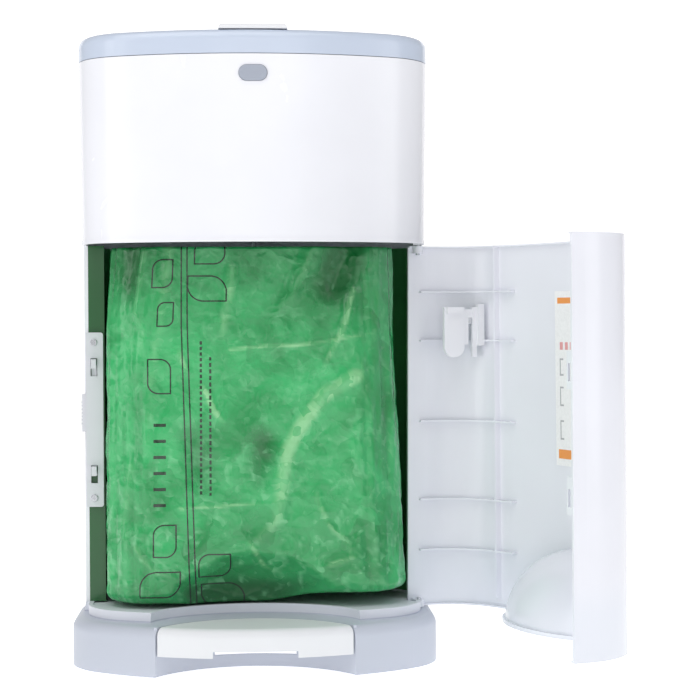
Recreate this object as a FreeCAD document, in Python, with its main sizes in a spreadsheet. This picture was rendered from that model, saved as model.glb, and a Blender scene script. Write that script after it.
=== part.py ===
"""Pedal-operated nappy bin with a liner, a swing-open front door and a flip-top lid.

Frame: X to the right, -Y to the front, +Z up. The origin is on the floor, in the
middle of the bin's oval plan. The door is built shut and then turned about its
hinge rod to its rest pose, which is open. Everything else is at rest: pedal up,
lid shut, collar shut, button out and latch slider up. Lengths are millimetres.
"""
import FreeCAD, Part
import Sketcher
import math
import os
import re

V = FreeCAD.Vector
doc = FreeCAD.newDocument("NappyBin")

# ---------------------------------------------------------------- driving sizes
SIZES = {
    # the oval plan of the body, and the heights that the rest hangs from
    "body_half": 162.5, "body_front": 101, "body_rear": 101, "plan_corner": 62, "plan_flat": 18,
    "pad_height": 1, "ledge_top": 46, "floor_top": 55, "housing_low": 396,
    # plans that follow the body's
    "top_half": "=body_half + 2.5", "door_half": "=body_half + 1.5", "door_flare": 4,
    "foot_half": "=body_half + 9.5", "foot_front": "=body_front + 30", "foot_rear": "=body_rear + 12",
    "foot_corner": 66, "foot_flat": 30,
    # heights of the housing and collar
    "housing_top": "=housing_low + 171", "collar_low": "=housing_top + 0.6",
    "collar_top": "=housing_top + 23", "shelf_low": "=housing_low + 90",
    # walls and gaps
    "wall": 3, "lining_wall": 1.6, "gap": 0.3, "pin_gap": 0.05, "swing_gap": 1,
    # base, scoop and floor
    "foot_round": 10, "floor_skin": 3, "floor_inset": 4, "floor_lip": 4, "tray_deep": 1.5,
    "plinth_flare": 1.5, "scoop_radius": 106, "scoop_centre": "=foot_front + 37",
    "lever_way": 38, "way_low": 12.5, "way_high": 36,
    "pad_radius": 9, "pad_spread": "=foot_half - 60", "pad_depth": "=foot_rear - 41", "pad_sunk": 2,
    # door and its hinge
    "parting": 6, "door_low": 46.5, "open_angle": 107.6, "door_heel": 8.5,
    "hinge_side": "=body_half - 4.5", "hinge_pin": 2, "pin_seat": 13, "ear_radius": 5, "ear_tall": 7,
    "heel_room": 13.6, "heel_taper": 2.5,
    "dome_half": 92.5, "dome_depth": 64.5, "dome_rise": 66, "dome_centre": "=body_front + 3",
    "dome_wall": 2.5, "dome_rim": 5, "dome_rim_tall": 3.5, "sill_gap": 9,
    "rib_depth": 5, "rib_wall": 1.6, "rib_end": "=body_half - 62.5", "stile_side": "=body_half - 42.5",
    "rib_a": "=floor_top + 45", "rib_b": "=floor_top + 94", "rib_c": "=floor_top + 170",
    "rib_d": "=housing_low - 93", "rib_e": "=housing_low - 46",
    "boss_wall": 2, "boss_front": 11.5, "boss_tall": 11,
    "label_low": "=floor_top + 134", "label_high": "=housing_low - 46",
    "label_left": 100, "label_right": 43,
    # body and lining
    "jamb_back": 2, "jamb_left": "=body_half - 19", "lining_clear": 2.5, "lining_rib": 1.2,
    "lining_corner": 48, "rib_low": "=floor_top + 46", "rib_middle": "=housing_low - 109",
    "rib_high": "=housing_low - 50",
    # latch
    "plate_low": "=floor_top + 91", "plate_high": "=plate_low + 167", "plate_wide": 16.4,
    "plate_side": "=body_half - 1.5", "plate_wall": 2, "plate_front": 8.5, "plate_round": 2.5,
    "rail_wall": 2.4, "slot_clear": 0.8, "latch_travel": 6.5,
    "hook_wide": 4.8, "hook_side": "=body_half - 9.1", "hook_reach": 14.8, "hook_tall": 9,
    "hook_high": "=plate_high - 25.5", "hook_low": "=plate_low + 39", "hook_neck": 5.5,
    "hook_nose": 2.8, "screw_high": "=plate_high - 9.5", "screw_low": "=plate_low + 8.5",
    "screw_head": 3.4, "screw_core": 1.5, "screw_rise": 1.2,
    "thumb_low": "=plate_low + 72", "thumb_high": "=plate_low + 108", "thumb_out": "=body_half + 2.7",
    "thumb_clear": 1, "thumb_back": 6, "tooth_pitch": 3.4,
    # cutter on the door
    "cutter_side": "=body_half - 27.5", "cutter_wall": 4, "cutter_high": "=housing_low - 60",
    "cutter_low": "=cutter_high - 48", "cutter_tip": 24, "tongue_wide": 21, "cut_slot": 4,
    "rail_wide": 4.5,
    # pedal and lift rod
    "pedal_low": 20, "pedal_top": 46, "pedal_gap": 1.8, "pedal_shell": 3, "pedal_round": 8,
    "notch_tall": 6, "pedal_pivot": 5, "pedal_pivot_high": 26, "pedal_pin": 2, "pivot_lug": 36,
    "lever_half": 30, "lever_wall": 8, "rod_back": "=body_rear - 24", "rod_radius": 2.5,
    "rod_lift_gap": 0.6,
    # collar, lid and hinges
    "collar_round": 9, "band_wide": 14, "lid_gap": 1, "lid_rear_cut": 8, "lid_wall": 5,
    "lid_axis_back": "=body_rear - 15", "lid_axis_high": "=collar_top - 3", "lid_barrel": 3.2,
    "lid_barrel_half": 40, "lid_pin": 1.5, "foot_ahead": 8, "foot_drop": 6, "foot_nose": 2,
    "foot_wide": 8, "tab_half": 31.5, "tab_wall": 4.2, "tab_gap": 0.6,
    "collar_axis_back": "=body_rear + 5", "collar_axis_high": "=housing_top + 1",
    "lug": 4.5, "collar_pin": 2, "collar_knuckle_half": 30,
    # button and the housing's lower lip
    "button_half": 13, "button_tall": 14.6, "button_high": "=housing_top - 17.4",
    "button_proud": 1.6, "button_deep": 12, "button_round": 1, "button_cage": "=body_front - 22",
    "spring_radius": 4, "spring_wire": 0.8, "spring_coils": 5, "lip_proud": 0.8, "lip_tall": 3.5,
    # chute, cassette and trap flaps
    "chute_ahead": 12, "chute_radius": "=body_front - 39", "cassette_out": "=body_front - 21",
    "cassette_in": "=body_front - 41", "cassette_tall": 40, "funnel_radius": "=cassette_in - 5",
    "funnel_low": "=shelf_low + 48", "funnel_mouth": "=cassette_in + 6",
    "funnel_top": "=collar_top - 7.2", "flap_side": "=cassette_in - 3",
    "flap_high": "=shelf_low - 6", "flap_half": 38, "flap_barrel": 3, "flap_pin": 1.5,
    # soft liner
    "bag_half_top": "=body_half - 28.5", "bag_half_low": "=body_half - 21.5",
    "bag_front": "=body_front - 39", "bag_rear": "=body_rear - 39", "bag_top": "=housing_low - 2",
    "bag_corner": 44, "bag_flat": 8, "bag_clear": 2,
}

sheet = doc.addObject("Spreadsheet::Sheet", "Sizes")
for line, (word, value) in enumerate(SIZES.items(), start=1):
    sheet.set(f"A{line}", word)
    sheet.set(f"B{line}", str(value))
    sheet.setAlias(f"B{line}", word)
doc.recompute()


def bound(text):
    """An expression over the sheet's aliases, written with their bare words."""
    return re.sub(r"[a-z]+(?:_[a-z]+)+|\bwall\b|\bgap\b|\blug\b|\bknuckle\b|\bparting\b",
                  lambda word: "Sizes." + word.group(0) if word.group(0) in SIZES else word.group(0),
                  str(text))


def value(text):
    """The number that an expression over the sheet has now."""
    return float(sheet.evalExpression(bound(text)))


def bind(thing, **sizes):
    for name, text in sizes.items():
        thing.setExpression(name.replace("__", "."), bound(text))
    return thing


# ---------------------------------------------------------------- solid helpers
def box(x, y, z):
    """A block between two values of each axis, each an expression."""
    solid = doc.addObject("Part::Box", "Block")
    bind(solid, Length=f"({x[1]}) - ({x[0]})", Width=f"({y[1]}) - ({y[0]})",
         Height=f"({z[1]}) - ({z[0]})")
    return place(solid, x[0], y[0], z[0])


def place(solid, x, y, z):
    return bind(solid, Placement__Base__x=x, Placement__Base__y=y, Placement__Base__z=z)


TURNS = {"Z": FreeCAD.Rotation(), "X": FreeCAD.Rotation(V(0, 1, 0), 90),
         "Y": FreeCAD.Rotation(V(1, 0, 0), -90)}


def cylinder(radius, length, at, along="Z"):
    """A round bar from a point, towards +X, +Y or +Z."""
    solid = doc.addObject("Part::Cylinder", "Round")
    solid.Placement = FreeCAD.Placement(V(), TURNS[along])
    bind(solid, Radius=radius, Height=length)
    return place(solid, *at)


def cut(base, *tools):
    for tool in tools:
        result = doc.addObject("Part::Cut", "Cut")
        result.Base = base
        result.Tool = tool
        base = result
    return base


def fuse(*shapes):
    result = doc.addObject("Part::MultiFuse", "Fuse")
    result.Shapes = list(shapes)
    return result


def common(*shapes):
    result = doc.addObject("Part::MultiCommon", "Common")
    result.Shapes = list(shapes)
    return result


def rounded(base, radius, chosen):
    """A fillet on each edge that the test chooses."""
    doc.recompute()
    result = doc.addObject("Part::Fillet", "Rounded")
    result.Base = base
    size = value(radius)
    result.Edges = [(number, size, size) for number, edge in enumerate(base.Shape.Edges, start=1)
                    if chosen(edge)]
    return result


# ---------------------------------------------------------------- oval plans
class Plan:
    """An oval with short flat flanks, as expressions, and its inward offset."""

    def __init__(self, half, front, rear, corner="plan_corner", flat="plan_flat"):
        self.half, self.front, self.rear = half, front, rear
        self.corner, self.flat = corner, flat

    def inset(self, by):
        return Plan(*(f"({side}) - ({by})" for side in (self.half, self.front, self.rear, self.corner)),
                    self.flat)

    def bow(self, depth):
        """The radius of the front or rear bow, which meets both corners smoothly."""
        return (f"((({self.half}) - ({self.corner}))^2 + (({depth}) - ({self.flat}))^2"
                f" - ({self.corner})^2) / (2 * (({depth}) - ({self.flat}) - ({self.corner})))")


def oval_sketch(body, plan, height):
    """The plan as a fully dimensioned sketch at a height above the floor."""
    sketch = body.newObject("Sketcher::SketchObject", "Oval")
    level = next(plane for plane in body.Origin.OriginFeatures if plane.Role == "XY_Plane")
    sketch.AttachmentSupport = [(level, "")]
    sketch.MapMode = "FlatFace"
    sketch.setExpression("AttachmentOffset.Base.z", bound(height))
    half, flat, corner = value(plan.half), value(plan.flat), value(plan.corner)
    bows = [value(plan.bow(plan.front)), value(plan.bow(plan.rear))]
    depths = [value(plan.front), value(plan.rear)]
    up = V(0, 0, 1)

    def arc(centre, radius, start, end):
        turn = math.atan2(end.y - centre.y, end.x - centre.x)
        first = math.atan2(start.y - centre.y, start.x - centre.x)
        return Part.ArcOfCircle(Part.Circle(centre, up, radius), first, turn)

    def meeting(side, end):
        """Where the bow meets a corner: on the line through both centres."""
        middle = V(0, end * (depths[end > 0] - bows[end > 0]), 0)
        centre = V(side * (half - corner), end * flat, 0)
        away = (centre - middle).normalize()
        return middle + away * bows[end > 0]

    front, rear = -1, 1
    centres = {(side, end): V(side * (half - corner), end * flat, 0)
               for side in (-1, 1) for end in (front, rear)}
    middle = {end: V(0, end * (depths[end > 0] - bows[end > 0]), 0) for end in (front, rear)}
    loop = [
        Part.LineSegment(V(half, -flat, 0), V(half, flat, 0)),
        arc(centres[1, rear], corner, V(half, flat, 0), meeting(1, rear)),
        arc(middle[rear], bows[1], meeting(1, rear), meeting(-1, rear)),
        arc(centres[-1, rear], corner, meeting(-1, rear), V(-half, flat, 0)),
        Part.LineSegment(V(-half, flat, 0), V(-half, -flat, 0)),
        arc(centres[-1, front], corner, V(-half, -flat, 0), meeting(-1, front)),
        arc(middle[front], bows[0], meeting(-1, front), meeting(1, front)),
        arc(centres[1, front], corner, meeting(1, front), V(half, -flat, 0)),
    ]
    sketch.addGeometry(loop, False)
    for number in range(len(loop)):
        after = (number + 1) % len(loop)
        sketch.addConstraint(Sketcher.Constraint("Tangent", number, 2, after, 1))

    def size(kind, *where, text):
        now = value(text)
        number = sketch.addConstraint(Sketcher.Constraint(kind, *where, now))
        sketch.setExpression(f"Constraints[{number}]", bound(text))

    for line, sign in ((0, ""), (4, "-")):
        size("DistanceX", -1, 1, line, 1, text=f"{sign}({plan.half})")
        size("DistanceX", -1, 1, line, 2, text=f"{sign}({plan.half})")
        size("DistanceY", -1, 1, line, 1, text=f"{'-' if sign == '' else ''}({plan.flat})")
        size("DistanceY", -1, 1, line, 2, text=f"{sign}({plan.flat})")
    for number in (1, 3, 5, 7):
        size("Radius", number, text=plan.corner)
    size("Radius", 2, text=plan.bow(plan.rear))
    size("Radius", 6, text=plan.bow(plan.front))
    return sketch


def oval(plan, low, high):
    """An upright solid on the plan, between two heights."""
    body = doc.addObject("PartDesign::Body", "OvalBody")
    pad = body.newObject("PartDesign::Pad", "Pad")
    pad.Profile = oval_sketch(body, plan, low)
    bind(pad, Length=f"({high}) - ({low})")
    body.Tip = pad
    return body


def tapered(low_plan, low, high_plan, high):
    """A solid that runs straight from one plan to another above it."""
    body = doc.addObject("PartDesign::Body", "TaperBody")
    loft = body.newObject("PartDesign::AdditiveLoft", "Loft")
    first = oval_sketch(body, low_plan, low)
    last = oval_sketch(body, high_plan, high)
    loft.Profile = first
    loft.Sections = [last]
    loft.Ruled = True
    body.Tip = loft
    return body


BODY = Plan("body_half", "body_front", "body_rear")
TOP = Plan("top_half", "body_front", "body_rear")
DOOR_LOW = Plan("door_half + door_flare", "body_front + door_flare", "body_rear + door_flare")
DOOR_HIGH = Plan("door_half", "body_front", "body_rear")
FOOT = Plan("foot_half", "foot_front", "foot_rear", "foot_corner", "foot_flat")
FLOOR = BODY.inset("floor_inset")
WIDE = 400
NODES = []


def node(name, shape):
    """Names a finished sub-part; its label is its file's name."""
    shape.Label = name
    NODES.append(shape)
    return shape


# ---------------------------------------------------------------- base
def ellipsoid(half, depth, rise):
    """The foot recess's rounded form, centred on the shut door's front wall."""
    solid = doc.addObject("Part::Ellipsoid", "Dome")
    solid.Placement = FreeCAD.Placement(V(), FreeCAD.Rotation(V(0, 0, 1), 90))
    bind(solid, Radius1=rise, Radius2=depth, Radius3=half)
    return place(solid, 0, "-dome_centre", "door_low")


def scoop(grow, low, high):
    """The round bite in the front of the base, in which the pedal moves."""
    return cylinder(f"scoop_radius + ({grow})", f"({high}) - ({low})", (0, "-scoop_centre", low))


def hinge_room():
    """The upright space in which the door's flared heel turns about its pins."""
    solid = doc.addObject("Part::Cone", "HeelRoom")
    bind(solid, Radius1="heel_room", Radius2="heel_room - heel_taper", Height="housing_low - ledge_top")
    return place(solid, "hinge_side", "-parting", "ledge_top")


def pad_place(side, end):
    return f"{side} * pad_spread", f"{end} * pad_depth"


def base():
    outer = rounded(oval(FOOT, "pad_height", "ledge_top"), "foot_round",
                    lambda edge: edge.BoundBox.ZMin > value("ledge_top") - 0.01)
    shell = cut(outer, oval(FOOT.inset("wall + 1"), 0, "ledge_top - floor_skin"))
    plinth = common(tapered(BODY.inset("-plinth_flare"), "ledge_top", BODY, "floor_top"),
                    box((-WIDE, WIDE), ("-parting", WIDE), ("ledge_top", "floor_top")))
    floor = cut(oval(FLOOR, "ledge_top - floor_skin", "floor_top"),
                ellipsoid("dome_half + sill_gap", "dome_depth + sill_gap", "dome_rise + sill_gap"))
    scoop_wall = common(scoop("wall", "pad_height", "ledge_top"),
                        oval(FOOT.inset("wall"), "pad_height", "ledge_top"))
    hollow = cut(oval(FLOOR.inset("floor_skin"), "pad_height", "floor_top - floor_skin"),
                 ellipsoid("dome_half + sill_gap + wall", "dome_depth + sill_gap + wall", "dome_rise"),
                 scoop("wall", 0, "floor_top"))
    well = common(cylinder("heel_room + wall", "floor_top - ledge_top + floor_skin",
                           ("hinge_side", "-parting", "ledge_top - floor_skin")),
                  oval(FLOOR, "ledge_top - floor_skin", "floor_top"))
    way = box(("-lever_way", "lever_way"), ("-foot_front", "-parting"), ("way_low", "way_high"))
    tray = cut(oval(FLOOR.inset("floor_lip"), "floor_top - tray_deep", "floor_top + 1"),
               ellipsoid("dome_half + sill_gap + floor_lip", "dome_depth + sill_gap + floor_lip",
                         "dome_rise + sill_gap"))
    closed = fuse(cut(fuse(shell, plinth, floor, scoop_wall), hollow), well)
    body = cut(closed, scoop(0, 0, "floor_top + 1"), way, tray, hinge_room())
    bosses = [cylinder("pad_radius + wall", "ledge_top - pad_height", (*pad_place(*spot), "pad_height"))
              for spot in CORNERS]
    pin_boss = cylinder("hinge_pin + wall", "pin_seat + 1", ("hinge_side", "-parting", "ledge_top - pin_seat - 2"))
    hinge_bore = cylinder("hinge_pin", WIDE, ("hinge_side", "-parting", "ledge_top - pin_seat"))
    lugs = [box((f"{side} * pivot_lug - wall", f"{side} * pivot_lug + wall"),
                ("-pedal_pivot - 6", "-pedal_pivot + 6"),
                ("pedal_pivot_high - 6", "floor_top - floor_skin")) for side in (-1, 1)]
    pin_bore = cylinder("pedal_pin", "4 * pivot_lug", ("-2 * pivot_lug", "-pedal_pivot", "pedal_pivot_high"),
                        "X")
    rod_hole = cylinder("rod_radius + pin_gap", "floor_top", (0, "rod_back", 0))
    seats = [cylinder("pad_radius", "pad_sunk", (*pad_place(*spot), "pad_height")) for spot in CORNERS]
    return cut(fuse(body, pin_boss, *lugs, *bosses), pin_bore, hinge_bore, rod_hole, *seats)


CORNERS = [(side, end) for side in (-1, 1) for end in (-1, 1)]
CORNER_NAMES = {(-1, -1): "front_left", (1, -1): "front_right", (-1, 1): "rear_left", (1, 1): "rear_right"}

node("base", base())
for spot in CORNERS:
    node("foot_pad_" + CORNER_NAMES[spot],
         cylinder("pad_radius", "pad_height + pad_sunk", (*pad_place(*spot), 0)))


# ---------------------------------------------------------------- body and lining
def body_shell():
    wall = cut(oval(BODY, "floor_top", "housing_low"),
               oval(BODY.inset("wall"), "floor_top - 1", "housing_low + 1"))
    wall = common(wall, box((-WIDE, WIDE), ("-parting + jamb_back", WIDE), ("floor_top", "housing_low")))
    jamb = common(box(("-body_half", "-jamb_left"), ("-parting + jamb_back", "-parting + jamb_back + wall"),
                      ("floor_top", "housing_low")), oval(BODY, "floor_top", "housing_low"))
    screws = [cylinder("screw_core", 8, ("-hook_side", "-parting + jamb_back - 1", high), "Y")
              for high in ("screw_high", "screw_low")]
    return cut(fuse(wall, jamb), hinge_room(), *screws)


def inner_lining():
    """A thin inner tub wall with three level ribs; the rod runs behind it."""
    plan = Plan("body_half - wall - gap", "body_front", "rod_back - rod_radius - lining_clear",
                "lining_corner")
    low, high = "floor_top", "housing_low - 1"
    behind = box((-WIDE, WIDE), ("-parting + jamb_back + wall + gap", WIDE), (low, high))
    skin = cut(oval(plan, low, high), oval(plan.inset("lining_wall"), "floor_top - 1", "housing_low"))
    ribs = [cut(oval(plan.inset("lining_wall / 2"), rib, f"{rib} + rib_wall"),
                oval(plan.inset("lining_wall + lining_rib"), f"{rib} - 1", f"{rib} + rib_wall + 1"))
            for rib in ("rib_low", "rib_middle", "rib_high")]
    return cut(common(fuse(skin, *ribs), behind), hinge_room())


node("body_shell", body_shell())
node("inner_lining", inner_lining())
node("door_pin_lower", cylinder("hinge_pin", "door_low + ear_tall - ledge_top + 14.5",
                                ("hinge_side", "-parting", "ledge_top - pin_seat")))
node("door_pin_upper", cylinder("hinge_pin", "swing_gap + ear_tall + 10.5",
                                ("hinge_side", "-parting", "housing_low - swing_gap - ear_tall - 1.5")))


# ---------------------------------------------------------------- latch
HOOKS = {"upper": "hook_high", "lower": "hook_low"}


def obround(width, height, depth, at):
    """An upright or lying slot form that points along +Y from a point."""
    tall = value(f"({height}) - ({width})") > 0
    radius, length = (width, height) if tall else (height, width)
    straight = f"({length}) - ({radius})"
    x, y, z = at
    shifts = [(0, f"{sign} * ({straight}) / 2") if tall else (f"{sign} * ({straight}) / 2", 0)
              for sign in (-1, 1)]
    ends = [cylinder(f"({radius}) / 2", depth, (f"({x}) + {dx}", y, f"({z}) + {dz}"), "Y")
            for dx, dz in shifts]
    wide, high = (radius, straight) if tall else (straight, radius)
    middle = box((f"({x}) - ({wide}) / 2", f"({x}) + ({wide}) / 2"), (y, f"({y}) + ({depth})"),
                 (f"({z}) - ({high}) / 2", f"({z}) + ({high}) / 2"))
    return fuse(middle, *ends)


def latch_plate():
    face = ("-plate_front", "-plate_front + plate_wall")
    plate = box(("-plate_side", "-plate_side + plate_wide"), face, ("plate_low", "plate_high"))
    plate = rounded(plate, "plate_round",
                    lambda edge: edge.Length < value("plate_wall") + 0.01
                    and edge.BoundBox.XMin > value("-plate_side + plate_wide") - 0.01)
    behind = ("-plate_front + plate_wall", "-parting + jamb_back")
    inner_rail = box(("-plate_side + plate_wide - rail_wall", "-plate_side + plate_wide"), behind,
                     ("plate_low + plate_round", "plate_high - plate_round"))
    outer_rails = [box(("-plate_side", "-plate_side + rail_wall"), behind, heights)
                   for heights in (("plate_low", "thumb_low - latch_travel - thumb_clear"),
                                   ("thumb_high + thumb_clear", "plate_high"))]
    slots = [box(("-hook_side - hook_wide / 2 - slot_clear", "-hook_side + hook_wide / 2 + slot_clear"),
                 ("-plate_front - 1", "-plate_front + plate_wall + 1"),
                 (f"{top} - hook_tall - latch_travel - slot_clear", f"{top} + slot_clear"))
             for top in HOOKS.values()]
    holes = [cylinder("screw_core", WIDE, ("-hook_side", "-plate_front - 1", high), "Y")
             for high in ("screw_high", "screw_low")]
    return cut(fuse(plate, inner_rail, *outer_rails), *slots, *holes)


def latch_screw(high):
    """A round cross-head screw that fixes the latch plate to the jamb."""
    head = cylinder("screw_head", "screw_rise", ("-hook_side", "-plate_front - screw_rise", high), "Y")
    head = rounded(head, "screw_rise * 0.6", lambda edge: edge.BoundBox.YMax < value("-plate_front - 0.5"))
    core = cylinder("screw_core", "jamb_back + wall + screw_rise", ("-hook_side", "-plate_front", high), "Y")
    cross = [box((f"-hook_side - {half_x}", f"-hook_side + {half_x}"),
                 ("-plate_front - screw_rise - 1", "-plate_front - screw_rise / 3"),
                 (f"{high} - {half_z}", f"{high} + {half_z}"))
             for half_x, half_z in ((0.45, 1.9), (1.9, 0.45))]
    return cut(fuse(head, core), *cross)


def latch_slider():
    """The strip behind the plate, its two hooks and the toothed thumb grip."""
    back = "-parting + jamb_back - gap"
    front = "-plate_front + plate_wall + gap"
    strip = box(("-hook_side - hook_wide / 2", "-hook_side + hook_wide / 2"), (front, back),
                ("hook_low - hook_tall", "hook_high"))
    hooks = []
    for top in HOOKS.values():
        across = ("-hook_side - hook_wide / 2", "-hook_side + hook_wide / 2")
        hooks.append(box(across, ("-hook_reach", back), (f"{top} - hook_neck", top)))
        hooks.append(box(across, ("-hook_reach", "-hook_reach + hook_nose"), (f"{top} - hook_tall", top)))
    outside = "-parting + gap"
    arm = box(("-thumb_out", "-hook_side"), (outside, back), ("thumb_low", "thumb_high"))
    grip = box(("-thumb_out", "-body_half - gap"), (outside, "thumb_back"), ("thumb_low", "thumb_high"))
    count = int(value("(thumb_high - thumb_low) / tooth_pitch")) - 3
    teeth = [cylinder("tooth_pitch / 4", "thumb_back + parting - gap",
                      ("-thumb_out", outside,
                       f"(thumb_low + thumb_high) / 2 + {number - (count - 1) / 2} * tooth_pitch"),
                      "Y") for number in range(count)]
    screw_slots = [box(("-hook_side - 2.1", "-hook_side + 2.1"), (front, back),
                       (f"{high} - latch_travel - 2.2", f"{high} + 2.2")) for high in ("screw_low",)]
    return cut(fuse(strip, arm, grip, *hooks, *teeth), *screw_slots)


node("latch_plate", latch_plate())
node("latch_screw_upper", latch_screw("screw_high"))
node("latch_screw_lower", latch_screw("screw_low"))
node("latch_slider", latch_slider())


# ---------------------------------------------------------------- door, built shut
def swung(shape):
    """Turns a piece of the shut door about the hinge rod to the rest pose."""
    pivot = V(value("hinge_side"), value("-parting"), 0)
    shape.Placement = FreeCAD.Placement(V(), FreeCAD.Rotation(V(0, 0, 1), value("open_angle")), pivot)
    return shape


def door_solid(inset, low="door_low", high="housing_low - swing_gap"):
    """The door's outer form, shrunk inwards, with its heel that reaches back past the hinge."""
    full = tapered(DOOR_LOW.inset(inset), "door_low - 1", DOOR_HIGH.inset(inset), "housing_low")
    reach = fuse(box((-WIDE, WIDE), (-WIDE, "-parting"), (low, high)),
                 box((0, WIDE), ("-parting - 1", "-parting + door_heel"), (low, high)))
    return common(full, reach)


def door_shell():
    wall = cut(door_solid(0), door_solid("wall", "door_low - 1", "housing_low + 1"))
    dome = common(ellipsoid("dome_half + dome_wall", "dome_depth + dome_wall", "dome_rise + dome_wall"),
                  door_solid("0.5"))
    brim = common(ellipsoid("dome_half + dome_rim", "dome_depth + dome_rim", "dome_rise"),
                  door_solid("0.5", "door_low", "door_low + dome_rim_tall"))
    ribs = []
    for height in ("rib_a", "rib_b", "rib_c", "rib_d", "rib_e"):
        band = (height, f"{height} + rib_wall")
        ribs.append(common(cut(door_solid("wall / 2", *band),
                               door_solid("wall + rib_depth", "door_low", "housing_low")),
                           box(("rib_end", WIDE), (-WIDE, "-parting - 3"), ("door_low", "housing_low"))))
    stile = common(box(("stile_side", "stile_side + rib_wall"), (-WIDE, "-parting"),
                       ("floor_top + 1", "housing_low - 2")),
                   cut(door_solid("wall / 2"), door_solid("wall + rib_depth", "door_low", "housing_low")))
    rims = [cut(door_solid("wall / 2", *band), door_solid("wall + 3", "door_low", "housing_low"))
            for band in (("door_low", "door_low + rib_wall"),
                         ("housing_low - swing_gap - rib_wall", "housing_low - swing_gap"))]
    bosses = [box(("-door_half - door_flare", "-hook_side + hook_wide / 2 + 3"),
                  ("-boss_front", "-boss_front + boss_wall"),
                  (f"{top} - hook_tall - boss_tall", f"{top} + boss_tall")) for top in HOOKS.values()]
    bosses = [common(boss, door_solid("wall / 2")) for boss in bosses]
    slots = [box(("-hook_side - hook_wide / 2 - slot_clear", "-hook_side + hook_wide / 2 + slot_clear"),
                 ("-boss_front - 1", "-boss_front + boss_wall + 1"),
                 (f"{top} - hook_tall - 4.5", f"{top} + 1")) for top in HOOKS.values()]
    ears = []
    for low in ("door_low", "housing_low - swing_gap - ear_tall"):
        band = (low, f"{low} + ear_tall")
        arm = box(("hinge_side", WIDE), ("-parting - ear_radius", "-parting + ear_radius"), band)
        ears.append(cylinder("ear_radius", "ear_tall", ("hinge_side", "-parting", low)))
        ears.append(common(arm, door_solid(0)))
    recess = ellipsoid("dome_half", "dome_depth", "dome_rise")
    bore = cylinder("hinge_pin + pin_gap", WIDE, ("hinge_side", "-parting", 0))
    return swung(cut(fuse(wall, dome, brim, stile, *ribs, *rims, *bosses, *ears), *slots, recess, bore))


def cutter_part(depth, heights, side="cutter_side", wide="cutter_wall"):
    return box((side, f"{side} + {wide}"), depth, heights)


def cutter():
    """The film cutter: a rounded tongue, a rail, a blade slot and a back plate."""
    tip = "-cutter_tip"
    rail_end = "-cutter_tip - tongue_wide - rail_wide"
    back_end = "-cutter_tip - tongue_wide - 2 * rail_wide - cut_slot"
    tongue = cutter_part(("-cutter_tip - tongue_wide", tip), ("cutter_low", "cutter_high"))
    tongue = rounded(tongue, "tongue_wide / 2 - 0.5",
                     lambda edge: abs(edge.Length - value("cutter_wall")) < 0.01
                     and edge.BoundBox.ZMax < value("cutter_low + 1"))
    rail = cutter_part((rail_end, "-cutter_tip - tongue_wide"), ("cutter_low + 12", "cutter_high - 8"),
                       "cutter_side + 1", "cutter_wall - 1")
    bridge = cutter_part((back_end, "-cutter_tip - tongue_wide"), ("cutter_high - 10", "cutter_high - 2"),
                         "cutter_side + 1", "cutter_wall - 1")
    back = cutter_part((back_end, f"{back_end} + rail_wide"), ("cutter_low", "cutter_high"))
    lip = box(("cutter_side - 2.5", "cutter_side"), ("-cutter_tip - tongue_wide + 2", "-cutter_tip - 2"),
              ("cutter_high - 6", "cutter_high"))
    return fuse(tongue, rail, bridge, back, lip)


def cutter_mount():
    near = "-cutter_tip - tongue_wide - 2 * rail_wide - cut_slot"
    block = box(("cutter_side - 4", "cutter_side + 8"), (-WIDE, near), ("cutter_low + 11", "cutter_high + 3"))
    return common(block, door_solid("wall + rib_depth", "door_low", "housing_low"))


def cutter_blade():
    front = "-cutter_tip - tongue_wide - rail_wide"
    blade = box(("cutter_side + 1.6", "cutter_side + 2.4"), (f"{front} - cut_slot", front),
                ("cutter_high - 16", "cutter_high - 10"))
    bevel = box(("cutter_side + 2", "cutter_side + 3"), (f"{front} - cut_slot - 1", f"{front} + 1"),
                ("cutter_high - 17", "cutter_high - 14"))
    return cut(blade, bevel)


def label(low, high, side, far, skin="0.4"):
    """A thin card on the inside of the door's wall, following its curve."""
    card = cut(door_solid("wall", low, high), door_solid(f"wall + {skin}", "door_low", "housing_low"))
    return common(card, box((side, far), (-WIDE, "-parting"), ("door_low", "housing_low")))


node("door_shell", door_shell())
node("door_cutter", swung(cutter()))
node("cutter_mount", swung(cutter_mount()))
node("cutter_blade", swung(cutter_blade()))
node("door_label", swung(label("label_low", "label_high", "-label_left", "label_right")))


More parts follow.
